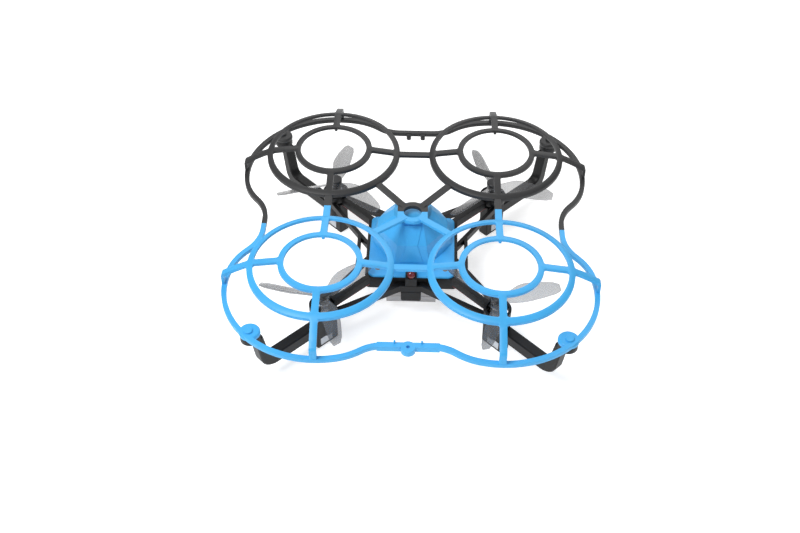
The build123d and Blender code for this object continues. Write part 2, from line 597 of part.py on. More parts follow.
def motor_leads():
    rods = []
    for corner in CORNERS:
        rods += [outward(corner, Pos(0, v, 0) * lead_rod(0.5)) for v in (-0.6, 0.6)]
    return rods


def control_board():
    z = (BOARD_Z - BOARD[2], BOARD_Z)
    board = bar((-BOARD[0] / 2, BOARD[0] / 2), (-BOARD[1] / 2, BOARD[1] / 2 + 4.0), z)
    for sx, sy in CORNERS.values():
        board -= post(SCREW_HOLE, (z[0] - 1, z[1] + 1), sx * 11.5, sy * 11.5)
        board -= post(SCREW_BOSS + CLEAR, (z[0] - 1, z[1] + 1), sx * SCREW_PLACE, sy * SCREW_PLACE)
    return board


def board_screws():
    screws = []
    for sx, sy in CORNERS.values():
        place = (sx * 11.5, sy * 11.5)
        screw = post(1.3, (BOARD_Z, BOARD_Z + 0.6), *place)
        screws.append(screw + post(SCREW_RADIUS, (BOARD_Z - BOARD[2], BOARD_Z + 0.6), *place))
    return screws


def board_chips():
    z = BOARD_Z
    return [
        bar((-3.5, 3.5), (-3.5, 3.5), (z, z + 1.0)),
        bar((-9.0, -6.0), (1.0, 4.0), (z, z + 0.8)),
        bar((6.0, 8.4), (-4.0, -1.0), (z, z + 0.8)),
        bar((-6.0, 2.0), (-9.5, -6.5), (z, z + 0.9)),
        bar((5.5, 8.7), (3.5, 6.0), (z, z + 0.9)),
        bar((-3.2, 0.8), (6.2, 9.0), (z, z + 1.4)),
    ]


def motor_plugs():
    """Four white two-way sockets at the board's sides."""
    return [bar((sx * 12.0 - 1.6, sx * 12.0 + 1.6), (sy * 6.2 - 2.0, sy * 6.2 + 2.0), (BOARD_Z, BOARD_Z + 1.9))
            for sx, sy in CORNERS.values()]


def sensor_housing():
    """Round-topped housing hooked over the tray's front edge; its slanted corner holds the lens."""
    back = -TRAY[1] / 2
    axis_z = SENSOR_TOP - SENSOR_RADIUS
    middle = SENSOR_FRONT + SENSOR_DEPTH / 2
    hook_z = TRAY_Z[1] + CANOPY_FLANGE_THICKNESS + CLEAR
    shape = Pos(0, middle, axis_z) * Rot(90, 0, 0) * Cylinder(SENSOR_RADIUS, SENSOR_DEPTH)
    low = bar((-SENSOR_RADIUS, SENSOR_RADIUS), (SENSOR_FRONT, SENSOR_FRONT + SENSOR_DEPTH), (hook_z, axis_z))
    foot = bar((-SENSOR_RADIUS, SENSOR_RADIUS), (SENSOR_FRONT, back), (END_BRACE_Z[1], axis_z))
    shape += low + foot
    shape -= bar((-SENSOR_RADIUS, SENSOR_RADIUS), (back, 0), (0, hook_z))
    shape -= at_slant(Box(20, 20, 20, align=(Align.CENTER, Align.CENTER, Align.MIN)))
    shape -= at_slant(Cylinder(LENS_RADIUS + CLEAR / 2, 2.0))
    return shape - bar((-1.7, 1.7), (back - 1.0, back + 1), (END_BRACE_Z[1] + 0.6, TRAY_Z[1]))


def at_slant(shape):
    """Put a shape made on the XY plane onto the sensor's slanted corner, +Z facing out."""
    half = SENSOR_SLANT / 2
    return Pos(0, SENSOR_FRONT + half, SENSOR_TOP - half) * Rot(45, 0, 0) * shape


def sensor_lens():
    """Dark red dome lens."""
    lens = Cylinder(LENS_RADIUS, 2.0)
    return at_slant(fillet(lens.edges().group_by(Axis.Z)[-1], 0.9))


def sensor_board():
    back = -TRAY[1] / 2
    return bar((-1.6, 1.6), (back - 0.9, back - 0.1), (END_BRACE_Z[1] + 0.7, TRAY_Z[1] - 0.1))


# ---- battery and button ---------------------------------------------------------------------
def port_space():
    """The block the charging port fills, let into the battery's rear end."""
    back = BATTERY_FRONT + BATTERY[1] + GRIP[1]
    middle = BATTERY_BOTTOM + BATTERY[2] / 2
    z = (middle - USB[2] / 2, middle + USB[2] / 2)
    return (-USB[0] / 2, USB[0] / 2), (back - USB[1], back), z


def usb_port():
    """Charging socket: a folded steel shell with its tongue."""
    x, y, z = port_space()
    shell = bar(x, y, z)
    shell -= bar((x[0] + 0.35, x[1] - 0.35), (y[0] + 0.6, y[1] + 1), (z[0] + 0.35, z[1] - 0.35))
    return shell + bar((x[0] + 1.4, x[1] - 1.4), (y[0], y[1] - 1.2), (z[0] + 1.1, z[0] + 1.8))


def battery_pack():
    x = BATTERY[0] / 2
    z = (BATTERY_BOTTOM, BATTERY_BOTTOM + BATTERY[2])
    pack = bar((-x, x), (BATTERY_FRONT, BATTERY_FRONT + BATTERY[1]), z)
    pack = fillet(pack.edges().filter_by(Axis.Y), 0.8)
    return pack - bar(*port_space())


def battery_grip():
    """Black cover on the battery's rear end: finger pull with the charging port in it."""
    x = GRIP[0] / 2
    back = BATTERY_FRONT + BATTERY[1]
    low = BATTERY_BOTTOM + (BATTERY[2] - GRIP[2]) / 2
    cover = bar((-x, x), (back, back + GRIP[1]), (low, low + GRIP[2]))
    cover = fillet(cover.edges().filter_by(Axis.Y), 1.2)
    return cover - bar(*port_space())


def battery_socket():
    """Contact block in front of the battery, fixed under the tray and the front brace."""
    x = SOCKET[0] / 2
    back = BATTERY_FRONT - 0.2
    block = bar((-x, x), (back - SOCKET[1], back), (SOCKET_BOTTOM, TRAY_Z[0]))
    return fillet(block.edges().group_by(Axis.Z)[0].filter_by(Axis.Y), 1.0)


def power_button():
    """Round button in the rear wall, kept in by its flange."""
    wall = TRAY[1] / 2
    stem = Pos(BUTTON_X, wall - 0.4, BUTTON_Z) * Rot(90, 0, 0) * Cylinder(BUTTON_RADIUS, 3.2)
    stem = fillet(stem.edges().group_by(Axis.Y)[-1], 0.4)
    flange_middle = wall - WALL - 0.1 - 0.3
    return stem + Pos(BUTTON_X, flange_middle, BUTTON_Z) * Rot(90, 0, 0) * Cylinder(BUTTON_RADIUS + 0.8, 0.6)


def button_switch():
    """Tact switch behind the button, on a foot that stands on the board."""
    face = TRAY[1] / 2 - 2.0 - BUTTON_TRAVEL - 0.15
    x = (BUTTON_X - 1.9, BUTTON_X + 1.9)
    body = bar(x, (face - 2.0, face), (BOARD_Z, BOARD_Z + 2.6))
    return body + bar(x, (BOARD[1] / 2 + 2.0, face), (BOARD_Z, BOARD_Z + 0.8))


def build():
    os.makedirs("parts", exist_ok=True)
    front, rear = cage_halves()
    write("cage_front", front)
    write("cage_rear", rear)
    write("body_tray", body_tray())
    write("canopy", canopy())
    write("body_screws", Compound(children=at_screws(body_screw())))
    write("side_frame_left", side_frame(-1))
    write("side_frame_right", side_frame(1))
    write("brace_front", end_brace(-1))
    write("brace_rear", end_brace(1))
    one_arm = arm()
    can, coil, shaft, base, cap = motor_can(), motor_coil(), motor_shaft(), hub_base(), hub_cap()
    blades = propeller()
    for corner in CORNERS:
        write(f"arm_{corner}", outward(corner, one_arm))
        write(f"motor_can_{corner}", at_rotor(corner, can))
        write(f"motor_coil_{corner}", at_rotor(corner, coil))
        write(f"motor_shaft_{corner}", at_rotor(corner, shaft))
        write(f"hub_base_{corner}", at_rotor(corner, base))
        write(f"hub_cap_{corner}", at_rotor(corner, cap))
        write(f"propeller_{corner}", at_rotor(corner, Rot(0, 0, BLADE_REST[corner]) * blades))
    write("motor_end_caps", Compound(children=[at_rotor(corner, motor_end_cap()) for corner in CORNERS]))
    write("motor_magnets", Compound(children=[at_rotor(corner, motor_magnet()) for corner in CORNERS]))
    write("led_lenses", Compound(children=[outward(corner, led_lens()) for corner in CORNERS]))
    write("led_boards", Compound(children=[outward(corner, led_board()) for corner in CORNERS]))
    write("motor_leads", Compound(children=motor_leads()))
    write("control_board", control_board())
    write("board_screws", Compound(children=board_screws()))
    write("board_chips", Compound(children=board_chips()))
    write("motor_plugs", Compound(children=motor_plugs()))
    write("usb_port", usb_port())
    write("sensor_housing", sensor_housing())
    write("sensor_lens", sensor_lens())
    write("sensor_board", sensor_board())
    write("battery_pack", battery_pack())
    write("battery_grip", battery_grip())
    write("battery_socket", battery_socket())
    write("power_button", power_button())
    write("button_switch", button_switch())


build()
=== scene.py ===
# %% [markdown]
# # A palm-sized drone in its propeller cage
#
# The measured model of the drone is already made and packed. This lesson dresses it: each cell
# takes one piece or one finish, says what it is on the real drone, and gives it the shape and the
# surface that the plain measured solid doesn't have. Lengths are in metres, so one millimetre is
# written as `MM`. +X is right, +Y is the drone's rear and +Z is up.

# %% Load the measured model
import json
import math

import bpy
from mathutils import Matrix, Vector


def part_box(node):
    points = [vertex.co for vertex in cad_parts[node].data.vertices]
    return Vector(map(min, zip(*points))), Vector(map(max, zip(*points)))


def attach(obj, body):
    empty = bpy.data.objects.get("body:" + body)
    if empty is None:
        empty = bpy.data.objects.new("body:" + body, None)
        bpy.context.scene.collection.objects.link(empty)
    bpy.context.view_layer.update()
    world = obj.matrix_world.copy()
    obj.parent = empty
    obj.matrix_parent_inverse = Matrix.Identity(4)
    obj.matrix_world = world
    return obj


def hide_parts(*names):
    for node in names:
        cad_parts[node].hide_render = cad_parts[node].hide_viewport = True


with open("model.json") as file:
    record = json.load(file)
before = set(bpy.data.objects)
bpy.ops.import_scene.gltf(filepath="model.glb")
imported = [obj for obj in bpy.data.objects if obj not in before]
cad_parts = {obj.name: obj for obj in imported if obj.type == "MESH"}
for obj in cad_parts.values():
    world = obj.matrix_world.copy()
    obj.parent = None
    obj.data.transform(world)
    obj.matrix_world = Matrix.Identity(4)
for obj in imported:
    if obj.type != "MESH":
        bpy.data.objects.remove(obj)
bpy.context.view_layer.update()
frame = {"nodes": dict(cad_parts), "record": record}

MM = 0.001
nodes = frame["nodes"]
slots = {row["node"]: row["material_slot"] for row in frame["record"]["subparts"]}
CORNERS = {"front_left": (-1, -1), "front_right": (1, -1), "rear_left": (-1, 1), "rear_right": (1, 1)}

# %% [markdown]
# ## Camera, light and floor
#
# The drone is small, so a normal 50 mm lens about half a metre away sees it the way a person
# holding it would. The camera looks down at it by a little over 44 degrees. It is placed along
# three directions: back towards the viewer, to the right and up.

# %% Camera
LENS_MM = 50.05
SENSOR_MM = 36.0
NEAREST = 0.01
TURN = math.radians(1.7676)
TILT = math.radians(44.3414)
ROLL = math.radians(0.1229)
DISTANCE = 0.557142
SLIDE_RIGHT = -0.0063725
SLIDE_UP = -0.0294368
RING_LEVEL = 0.0518


def place_camera():
    """One camera, aimed at the middle of the four rings and slid sideways without turning."""
    back = Vector((math.sin(TURN) * math.cos(TILT), -math.cos(TURN) * math.cos(TILT), math.sin(TILT)))
    level_right = Vector((math.cos(TURN), math.sin(TURN), 0))
    level_up = back.cross(level_right)
    right = math.cos(ROLL) * level_right + math.sin(ROLL) * level_up
    up = -math.sin(ROLL) * level_right + math.cos(ROLL) * level_up
    spot = Vector((0, 0, RING_LEVEL)) + DISTANCE * back + SLIDE_RIGHT * right + SLIDE_UP * up
    lens = bpy.data.cameras.new("camera")
    lens.lens = LENS_MM
    lens.sensor_width = SENSOR_MM
    lens.clip_start = NEAREST
    camera = bpy.data.objects.new("camera", lens)
    bpy.context.collection.objects.link(camera)
    camera.matrix_world = Matrix((
        (right.x, up.x, back.x, spot.x),
        (right.y, up.y, back.y, spot.y),
        (right.z, up.z, back.z, spot.z),
        (0, 0, 0, 1),
    ))
    bpy.context.scene.camera = camera
    return spot


print("camera at", [round(v, 4) for v in place_camera()])

# %% [markdown]
# A near-white floor and three large soft lamps give the even light of a product table. The lamps
# are wide compared with the drone, so its shadows stay faint and its satin plastic shows long,
# gentle highlights. The world adds a little light from everywhere.

# %% Light and floor
FLOOR_SIZE = 6.0
FLOOR_WHITE = (0.86, 0.86, 0.86, 1)
FLOOR_ROUGHNESS = 0.9
FLOOR_GLOW = 0.55
WORLD_GLOW = 0.34
WHITE = (1, 1, 1, 1)
AIM = (0, 0, 0.03)
# place, width and power of each lamp, in metres and watts
LAMPS = {
    "key_lamp": ((-0.35, -0.25, 0.75), 0.40, 5.4),
    "fill_lamp": ((0.6, -0.35, 0.5), 0.6, 0.5),
    "back_lamp": ((0.1, 0.65, 0.55), 0.7, 2.6),
}


def soft_lamp(name, spot, size, watts):
    """A square area lamp that points at the drone."""
    lamp = bpy.data.lights.new(name, "AREA")
    lamp.shape = "SQUARE"
    lamp.size = size
    lamp.energy = watts
    holder = bpy.data.objects.new(name, lamp)
    bpy.context.collection.objects.link(holder)
    holder.location = spot
    holder.rotation_euler = (Vector(AIM) - Vector(spot)).to_track_quat("-Z", "Y").to_euler()


def studio():
    bpy.ops.object.select_all(action="DESELECT")
    bpy.ops.mesh.primitive_plane_add(size=FLOOR_SIZE, location=(0, 0, 0))
    floor = bpy.context.active_object
    floor.name = "floor"
    paint = bpy.data.materials.new("floor_white")
    paint.use_nodes = True
    shader = paint.node_tree.nodes["Principled BSDF"]
    shader.inputs["Base Color"].default_value = FLOOR_WHITE
    shader.inputs["Roughness"].default_value = FLOOR_ROUGHNESS
    shader.inputs["Emission Color"].default_value = WHITE
    shader.inputs["Emission Strength"].default_value = FLOOR_GLOW
    floor.data.materials.append(paint)
    world = bpy.data.worlds.new("studio")
    world.use_nodes = True
    glow = world.node_tree.nodes["Background"]
    glow.inputs["Color"].default_value = WHITE
    glow.inputs["Strength"].default_value = WORLD_GLOW
    bpy.context.scene.world = world
    for name, (spot, size, watts) in LAMPS.items():
        soft_lamp(name, spot, size, watts)
    bpy.context.scene.view_settings.view_transform = "Standard"
    print(len(LAMPS), "lamps, one floor")


studio()

# %% [markdown]
# ## Finishes
#
# Almost everything here is injection-moulded plastic. The tool steel it is moulded in is spark
# eroded, which leaves a fine even grain, and handling polishes the grain in patches. Both are made
# once, in one node group, and every plastic can set its own grain size and depth.

# %% Grain of moulded plastic


def group_socket(tree, name, way, kind, value=None):
    socket = tree.interface.new_socket(name=name, in_out=way, socket_type=kind)
    if value is not None:
        socket.default_value = value


def moulded_grain():
    """Group: fine spark-eroded grain for the bump, slow patches for the gloss and the colour."""
    tree = bpy.data.node_groups.new("moulded_grain", "ShaderNodeTree")
    group_socket(tree, "Colour", "INPUT", "NodeSocketColor", (0.5, 0.5, 0.5, 1))
    group_socket(tree, "Grain Scale", "INPUT", "NodeSocketFloat", 2500.0)
    group_socket(tree, "Patch Scale", "INPUT", "NodeSocketFloat", 40.0)
    group_socket(tree, "Gloss Low", "INPUT", "NodeSocketFloat", 0.4)
    group_socket(tree, "Gloss High", "INPUT", "NodeSocketFloat", 0.5)
    group_socket(tree, "Colour", "OUTPUT", "NodeSocketColor")
    group_socket(tree, "Roughness", "OUTPUT", "NodeSocketFloat")
    group_socket(tree, "Height", "OUTPUT", "NodeSocketFloat")
    put, link = tree.nodes.new, tree.links.new
    entry, leave = put("NodeGroupInput"), put("NodeGroupOutput")
    place = put("ShaderNodeTexCoord")
    grain, patches = put("ShaderNodeTexNoise"), put("ShaderNodeTexNoise")
    grain.inputs["Detail"].default_value = 3.0
    patches.inputs["Detail"].default_value = 4.0
    gloss = put("ShaderNodeMapRange")
    tone = put("ShaderNodeMapRange")
    tone.inputs["From Min"].default_value, tone.inputs["From Max"].default_value = 0.3, 0.7
    tone.inputs["To Min"].default_value, tone.inputs["To Max"].default_value = 0.93, 1.06
    tint = put("ShaderNodeVectorMath")
    tint.operation = "SCALE"
    link(place.outputs["Object"], grain.inputs["Vector"])
    link(place.outputs["Object"], patches.inputs["Vector"])
    link(entry.outputs["Grain Scale"], grain.inputs["Scale"])
    link(entry.outputs["Patch Scale"], patches.inputs["Scale"])
    link(patches.outputs["Fac"], gloss.inputs["Value"])
    link(entry.outputs["Gloss Low"], gloss.inputs["To Min"])
    link(entry.outputs["Gloss High"], gloss.inputs["To Max"])
    link(patches.outputs["Fac"], tone.inputs["Value"])
    link(entry.outputs["Colour"], tint.inputs[0])
    link(tone.outputs["Result"], tint.inputs["Scale"])
    link(tint.outputs["Vector"], leave.inputs["Colour"])
    link(gloss.outputs["Result"], leave.inputs["Roughness"])
    link(grain.outputs["Fac"], leave.inputs["Height"])
    return tree


GRAIN = moulded_grain()
print("grain group with", len(GRAIN.nodes), "nodes")

# %% [markdown]
# Metal parts are turned or drawn, so their scratches run one way. The same idea serves: a noise
# stretched along one axis gives long streaks, and those streaks change the gloss and the height.

# %% Drawn metal


def drawn_metal():
    """Group: long streaks for cans, shafts and shells of metal."""
    tree = bpy.data.node_groups.new("drawn_metal", "ShaderNodeTree")
    group_socket(tree, "Colour", "INPUT", "NodeSocketColor", (0.6, 0.6, 0.6, 1))
    group_socket(tree, "Streak Scale", "INPUT", "NodeSocketFloat", 1500.0)
    group_socket(tree, "Gloss Low", "INPUT", "NodeSocketFloat", 0.25)
    group_socket(tree, "Gloss High", "INPUT", "NodeSocketFloat", 0.45)
    group_socket(tree, "Colour", "OUTPUT", "NodeSocketColor")
    group_socket(tree, "Roughness", "OUTPUT", "NodeSocketFloat")
    group_socket(tree, "Height", "OUTPUT", "NodeSocketFloat")
    put, link = tree.nodes.new, tree.links.new
    entry, leave = put("NodeGroupInput"), put("NodeGroupOutput")
    place, stretch = put("ShaderNodeTexCoord"), put("ShaderNodeMapping")
    stretch.inputs["Scale"].default_value = (1.0, 1.0, 0.06)
    streaks = put("ShaderNodeTexNoise")
    streaks.inputs["Detail"].default_value = 4.0
    gloss, tone = put("ShaderNodeMapRange"), put("ShaderNodeMapRange")
    tone.inputs["To Min"].default_value, tone.inputs["To Max"].default_value = 0.85, 1.1
    tint = put("ShaderNodeVectorMath")
    tint.operation = "SCALE"
    link(place.outputs["Object"], stretch.inputs["Vector"])
    link(stretch.outputs["Vector"], streaks.inputs["Vector"])
    link(entry.outputs["Streak Scale"], streaks.inputs["Scale"])
    link(streaks.outputs["Fac"], gloss.inputs["Value"])
    link(entry.outputs["Gloss Low"], gloss.inputs["To Min"])
    link(entry.outputs["Gloss High"], gloss.inputs["To Max"])
    link(streaks.outputs["Fac"], tone.inputs["Value"])
    link(entry.outputs["Colour"], tint.inputs[0])
    link(tone.outputs["Result"], tint.inputs["Scale"])
    link(tint.outputs["Vector"], leave.inputs["Colour"])
    link(gloss.outputs["Result"], leave.inputs["Roughness"])
    link(streaks.outputs["Fac"], leave.inputs["Height"])
    return tree


METAL = drawn_metal()
print("metal group with", len(METAL.nodes), "nodes")

# %% [markdown]
# Each finish is one material: a Principled shader fed by one of the two groups. What is the same
# all over, such as how metallic it is, is set on the shader itself. The grain is at most a few
# hundredths of a millimetre deep, so its bump is very shallow.

# %% One finish


def finish(name, colour, low, high, group=None, scale=2500.0, depth=0.02, **constants):
    """A material from a colour, its range of roughness and its grain."""
    group = group or GRAIN
    paint = bpy.data.materials.new(name)
    paint.use_nodes = True
    tree = paint.node_tree
    shader = tree.nodes["Principled BSDF"]
    grain = tree.nodes.new("ShaderNodeGroup")
    grain.node_tree = group
    grain.inputs["Colour"].default_value = (*colour, 1)
    grain.inputs["Gloss Low"].default_value = low
    grain.inputs["Gloss High"].default_value = high
    grain.inputs["Grain Scale" if group is GRAIN else "Streak Scale"].default_value = scale
    bump = tree.nodes.new("ShaderNodeBump")
    bump.inputs["Distance"].default_value = depth * MM
    tree.links.new(grain.outputs["Colour"], shader.inputs["Base Color"])
    tree.links.new(grain.outputs["Roughness"], shader.inputs["Roughness"])
    tree.links.new(grain.outputs["Height"], bump.inputs["Height"])
    tree.links.new(bump.outputs["Normal"], shader.inputs["Normal"])
    for socket, value in constants.items():
        shader.inputs[socket.replace("_", " ")].default_value = value
    return paint


PAINTS = {
    "sky_blue_plastic": finish("sky_blue_plastic", (0.052, 0.40, 0.80), 0.34, 0.46, depth=0.015,
                               Specular_IOR_Level=0.4),
    "dark_grey_plastic": finish("dark_grey_plastic", (0.030, 0.030, 0.031), 0.40, 0.54, depth=0.02,
                                Specular_IOR_Level=0.35),
    "black_plastic": finish("black_plastic", (0.005, 0.005, 0.0055), 0.34, 0.48, depth=0.02,
                            Specular_IOR_Level=0.28),
    "hub_plastic": finish("hub_plastic", (0.020, 0.020, 0.022), 0.24, 0.36, depth=0.01),
    "battery_plastic": finish("battery_plastic", (0.40, 0.385, 0.385), 0.40, 0.52, depth=0.02),
    "white_plastic": finish("white_plastic", (0.70, 0.70, 0.67), 0.35, 0.48),
    "chip_black": finish("chip_black", (0.018, 0.018, 0.018), 0.45, 0.6, scale=4000.0),
    "circuit_board": finish("circuit_board", (0.012, 0.07, 0.03), 0.28, 0.42, scale=1200.0),
    "wire_sleeve": finish("wire_sleeve", (0.30, 0.015, 0.015), 0.35, 0.5, scale=1800.0),
    "frosted_lens": finish("frosted_lens", (0.55, 0.57, 0.60), 0.30, 0.42, scale=900.0, depth=0.03),
    "red_lens": finish("red_lens", (0.16, 0.006, 0.008), 0.05, 0.10, scale=300.0, depth=0.002,
                       Coat_Weight=0.8),
    "motor_steel": finish("motor_steel", (0.50, 0.51, 0.53), 0.22, 0.42, METAL, 1500.0, 0.01, Metallic=1.0),
    "copper_winding": finish("copper_winding", (0.62, 0.28, 0.13), 0.28, 0.42, METAL, 4000.0, 0.03,
                             Metallic=1.0),
    "screw_steel": finish("screw_steel", (0.16, 0.16, 0.17), 0.30, 0.45, METAL, 2000.0, 0.01, Metallic=1.0),
    "port_steel": finish("port_steel", (0.62, 0.62, 0.64), 0.20, 0.34, METAL, 1200.0, 0.01, Metallic=1.0),
}
print(len(PAINTS), "finishes")

# %% [markdown]
# The propellers are thin smoky clear plastic. Seen flat they let most light through, and seen at a
# glancing angle, as at their rounded edges, they look denser. A Layer Weight node gives that angle
# and drives how much of the surface shows.

# %% Smoky blade plastic


def smoky_blade():
    paint = finish("clear_grey_plastic", (0.15, 0.15, 0.155), 0.16, 0.28, scale=1500.0, depth=0.006)
    tree = paint.node_tree
    shader = tree.nodes["Principled BSDF"]
    angle = tree.nodes.new("ShaderNodeLayerWeight")
    angle.inputs["Blend"].default_value = 0.35
    cover = tree.nodes.new("ShaderNodeMapRange")
    cover.inputs["To Min"].default_value = 0.34
    cover.inputs["To Max"].default_value = 0.92
    tree.links.new(angle.outputs["Facing"], cover.inputs["Value"])
    tree.links.new(cover.outputs["Result"], shader.inputs["Alpha"])
    return paint


PAINTS["clear_grey_plastic"] = smoky_blade()
print("blade plastic ready")

# %% [markdown]
# Every measured node takes the finish of its own slot. Moulded edges are never knife sharp: the
# tool leaves a small radius that catches a thin line of light. A Weld, a planar Decimate and a
# Bevel modifier give the larger plastic nodes that radius without touching the measured mesh.

# %% Finish and soft edges of the measured nodes
EDGE_RADIUS = 0.22
CAGE_EDGE = 0.12
WELD_REACH = 0.002 * MM
FLAT_ANGLE = math.radians(1.0)
SHARP_ANGLE = math.radians(38)


def soften(piece, radius_mm):
    """Live modifiers that round the sharp edges of a measured node."""
    weld = piece.modifiers.new("weld", "WELD")
    weld.merge_threshold = WELD_REACH
    flat = piece.modifiers.new("flat", "DECIMATE")
    flat.decimate_type = "DISSOLVE"
    flat.angle_limit = FLAT_ANGLE
    edge = piece.modifiers.new("edge", "BEVEL")
    edge.width = radius_mm * MM
    edge.segments = 2
    edge.limit_method = "ANGLE"
    edge.angle_limit = SHARP_ANGLE
    edge.use_clamp_overlap = True


SOFT = ("cage", "arm_", "side_frame", "brace", "body_tray", "canopy", "sensor_housing", "battery_socket")
for name, node in nodes.items():
    node.data.materials.clear()
    node.data.materials.append(PAINTS[slots[name]])
    if name.startswith(SOFT):
        soften(node, CAGE_EDGE if name.startswith("cage") else EDGE_RADIUS)
print("painted", len(nodes), "nodes")

# %% [markdown]
# ## Pieces remodelled
#
# Some parts deserve more shape than the measured solid has: the blades, the battery, the sensor's
# dome and the front of the canopy. Each one starts as a primitive and is shaped in edit mode. A few
# helpers come first. One deselects everything before a primitive is added, and one selects points
# or faces by their place. One finishes a piece: its modifiers are applied, its object is left at
# the origin, and it is given its body, its slot and its finish.

# %% Helpers for modelling


def start():
    """Back to object mode with nothing selected."""
    if bpy.context.object and bpy.context.object.mode != "OBJECT":
        bpy.ops.object.mode_set(mode="OBJECT")
    bpy.ops.object.select_all(action="DESELECT")


def edit_new(name):
    """Name the primitive that was just added and open it for editing."""
    piece = bpy.context.active_object
    piece.name = name
    piece.data.name = name
    bpy.ops.object.mode_set(mode="EDIT")
    return piece


def bake_place():
    """Put the active object's place, turn and size into its mesh, and go on editing."""
    bpy.ops.object.mode_set(mode="OBJECT")
    bpy.ops.object.transform_apply(location=True, rotation=True, scale=True)
    bpy.ops.object.mode_set(mode="EDIT")


def pick(piece, test, kind="VERT"):
    """Select the points or faces that pass a test of their middle."""
    bpy.ops.mesh.select_mode(type=kind)
    bpy.ops.mesh.select_all(action="DESELECT")
    bpy.ops.object.mode_set(mode="OBJECT")
    mesh = piece.data
    items = mesh.vertices if kind == "VERT" else mesh.polygons
    for item in items:
        item.select = bool(test(item.co if kind == "VERT" else item.center, item))
    bpy.ops.object.mode_set(mode="EDIT")


def bevel_modifier(piece, width_mm, segments, angle):
    """Round every edge that is sharper than the angle, in degrees."""
    edge = piece.modifiers.new("round", "BEVEL")
    edge.width = width_mm * MM
    edge.segments = segments
    edge.limit_method = "ANGLE"
    edge.angle_limit = math.radians(angle)


def complete(piece, body, replaced, smooth=35):
    """Apply what is left, then give the piece its body and the finish of the replaced node's slot, and hide
    the node it replaces.
    """
    if piece.mode != "EDIT":
        bpy.ops.object.mode_set(mode="EDIT")
    bpy.ops.mesh.select_mode(type="VERT")
    bpy.ops.mesh.select_all(action="SELECT")
    bpy.ops.mesh.remove_doubles(threshold=0.001 * MM)
    bpy.ops.mesh.normals_make_consistent(inside=False)
    bpy.ops.object.mode_set(mode="OBJECT")
    bpy.ops.object.transform_apply(location=True, rotation=True, scale=True)
    for modifier in list(piece.modifiers):
        bpy.ops.object.modifier_apply(modifier=modifier.name)
    bpy.ops.object.shade_smooth_by_angle(angle=math.radians(smooth))
    piece.data.materials.clear()
    piece.data.materials.append(PAINTS[slots[replaced]])
    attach(piece, body)
    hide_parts(replaced)


print("helpers ready")

# %% [markdown]
# A propeller blade is one thin moulding. It is broadest a little inside halfway and twisted: steep
# near the hub, where it moves slowly, and flatter at the tip. A grid lying along +X is shaped station by
# station: each column of points is narrowed or widened, pushed so that the leading edge bulges
# and the trailing edge stays nearly straight, and turned to its own pitch. Solidify gives it its
# thickness.

# %% One blade
BLADE_PLANE = 30.8 * MM
BLADE_WALL = 0.8 * MM
BLADE_EDGE = 0.25
BLADE_COUNT = 3
ROOT, TIP = 2.4 * MM, 32.4 * MM
# chord, shift of the chord's middle to the leading side, pitch, at even steps from root to tip
STATIONS = [(3.4, 0.0, 31), (5.2, 0.2, 34), (7.3, 0.6, 36), (8.8, 0.9, 35), (9.4, 1.0, 33), (9.2, 0.9, 32),
            (8.7, 0.8, 31), (8.1, 0.6, 30), (7.2, 0.4, 28), (6.2, 0.2, 27), (3.6, -0.1, 26)]
GRID_WIDTH = 10 * MM


def one_blade():
    """One blade along +X, with its root where the grip ring will be."""
    start()
    bpy.ops.mesh.primitive_grid_add(x_subdivisions=len(STATIONS) - 1, y_subdivisions=6, size=1.0,
                                    location=((ROOT + TIP) / 2, 0, 0))
    blade = edit_new("blade")
    bpy.ops.mesh.select_all(action="SELECT")
    bpy.ops.transform.resize(value=(TIP - ROOT, GRID_WIDTH, 1))
    bake_place()
    for k, (chord, lead, pitch) in enumerate(STATIONS):
        here = ROOT + (TIP - ROOT) * k / (len(STATIONS) - 1)
        pick(blade, lambda co, _: abs(co.x - here) < 0.2 * MM)
        bpy.ops.transform.resize(value=(1, chord * MM / GRID_WIDTH, 1), center_override=(here, 0, 0))
        bpy.ops.transform.translate(value=(0, lead * MM, 0))
        bpy.ops.transform.rotate(value=math.radians(-pitch), orient_axis="X", center_override=(here, 0, 0))
    bpy.ops.object.mode_set(mode="OBJECT")
    wall = blade.modifiers.new("wall", "SOLIDIFY")
    wall.thickness = BLADE_WALL
    wall.offset = 0
    bevel_modifier(blade, BLADE_EDGE, 2, 40)
    for modifier in list(blade.modifiers):
        bpy.ops.object.modifier_apply(modifier=modifier.name)
    return blade


# %% [markdown]
# The ring that grips the hub is a circle extruded up and inwards. Three blades are set round it,
# the whole is turned to the angle at which that propeller happened to stop, and it is moved onto
# its motor. Each propeller gets its own mesh.

# %% Four propellers
PITCH_HALF = 42.8 * MM
# the turn of each propeller in degrees
REST_ANGLE = {"front_left": 47.0, "front_right": 18.0, "rear_left": 79.0, "rear_right": 107.0}
# inner radius, outer radius and height
GRIP_RING = (1.8 * MM, 3.35 * MM, 2.3 * MM)


def grip_ring():
    inner, outer, height = GRIP_RING
    start()
    bpy.ops.mesh.primitive_circle_add(vertices=48, radius=outer, location=(0, 0, -height / 2))
    ring = edit_new("grip_ring")
    bpy.ops.mesh.select_all(action="SELECT")
    bpy.ops.mesh.extrude_region_move(TRANSFORM_OT_translate={"value": (0, 0, height)})
    bpy.ops.mesh.extrude_region_move()
    bpy.ops.transform.resize(value=(inner / outer, inner / outer, 1), center_override=(0, 0, height / 2))
    bpy.ops.mesh.extrude_region_move(TRANSFORM_OT_translate={"value": (0, 0, -height)})
    pick(ring, lambda co, _: co.z < 0)
    bpy.ops.mesh.bridge_edge_loops()
    bpy.ops.mesh.select_all(action="SELECT")
    bpy.ops.mesh.normals_make_consistent(inside=False)
    bpy.ops.object.mode_set(mode="OBJECT")
    bevel_modifier(ring, BLADE_EDGE, 2, 40)
    bpy.ops.object.modifier_apply(modifier="round")
    return ring


